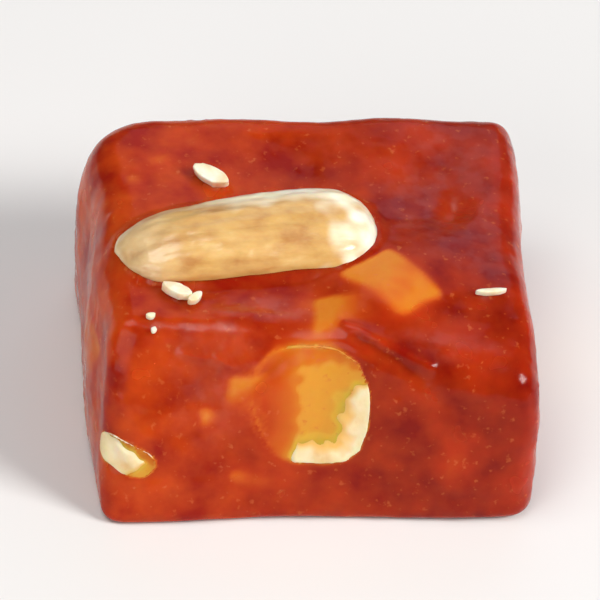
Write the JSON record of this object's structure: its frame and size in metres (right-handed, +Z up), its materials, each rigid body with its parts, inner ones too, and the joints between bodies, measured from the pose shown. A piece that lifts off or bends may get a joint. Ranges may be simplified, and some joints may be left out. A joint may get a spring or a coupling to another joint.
{
  "type": "karachi halwa",
  "caption": "Piece of red karachi halwa: a soft square slab of glossy starch jelly with a blanched almond on top and cut nut pieces in its sides.",
  "frame": {"origin": "middle of the bounding box at the flat base", "axes": "+Z up from the base; X along the front cut, with the almond's rounded end to +X; +Y to the back"},
  "size_m": [0.0388, 0.0348, 0.0203],
  "materials": {
    "jelly": "translucent deep red starch jelly with an oily gloss",
    "almond": "blanched almond, cream, lightly oiled",
    "nut": "nut soaked in syrup, orange yellow with a cream cut rim"
  },
  "bodies": {
    "root": {"halwa": "jelly", "almond": "almond", "nut_front": "nut", "nut_corner": "nut", "nut_right": "nut", "nut_back": "nut"}
  },
  "joints": []
}
